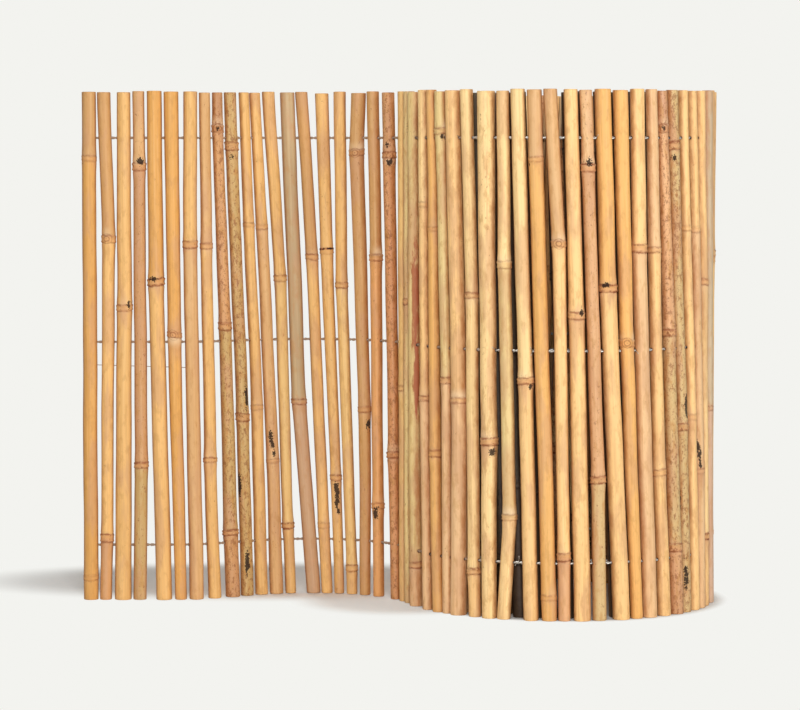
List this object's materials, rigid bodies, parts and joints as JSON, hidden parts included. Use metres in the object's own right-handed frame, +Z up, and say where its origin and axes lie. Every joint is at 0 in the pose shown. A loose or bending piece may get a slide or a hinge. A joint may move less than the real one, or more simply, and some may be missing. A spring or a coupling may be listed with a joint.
{
  "type": "bamboo fence panel",
  "caption": "Part-unrolled fence panel of upright bamboo canes threaded on three wires, one end flat and the rest wound into a standing roll.",
  "frame": {"origin": "on the floor under the middle of the panel's box", "axes": "+Z up along the canes, +X from the flat free end towards the roll, +Y to the back of the panel"},
  "size_m": [0.6208, 0.3022, 0.5],
  "materials": {
    "bamboo": "dry satin skin",
    "galvanised_wire": "dull galvanised"
  },
  "bodies": {
    "root": {"cane_01": "bamboo", "cane_02": "bamboo", "cane_03": "bamboo", "cane_04": "bamboo", "cane_05": "bamboo", "cane_06": "bamboo", "cane_07": "bamboo", "cane_08": "bamboo", "cane_09": "bamboo", "cane_10": "bamboo", "cane_11": "bamboo", "cane_12": "bamboo", "cane_13": "bamboo", "cane_14": "bamboo", "cane_15": "bamboo", "cane_16": "bamboo", "cane_17": "bamboo", "cane_18": "bamboo", "cane_19": "bamboo", "cane_20": "bamboo", "cane_21": "bamboo", "cane_22": "bamboo", "cane_23": "bamboo", "cane_24": "bamboo", "cane_25": "bamboo", "cane_26": "bamboo", "cane_27": "bamboo", "cane_28": "bamboo", "cane_29": "bamboo", "cane_30": "bamboo", "cane_31": "bamboo", "cane_32": "bamboo", "cane_33": "bamboo", "cane_34": "bamboo", "cane_35": "bamboo", "cane_36": "bamboo", "cane_37": "bamboo", "cane_38": "bamboo", "cane_39": "bamboo", "cane_40": "bamboo", "cane_41": "bamboo", "cane_42": "bamboo", "cane_43": "bamboo", "cane_44": "bamboo", "cane_45": "bamboo", "cane_46": "bamboo", "cane_47": "bamboo", "hidden_canes": "bamboo", "bottom_wire": "galvanised_wire", "middle_wire": "galvanised_wire", "top_wire": "galvanised_wire"}
  },
  "joints": []
}
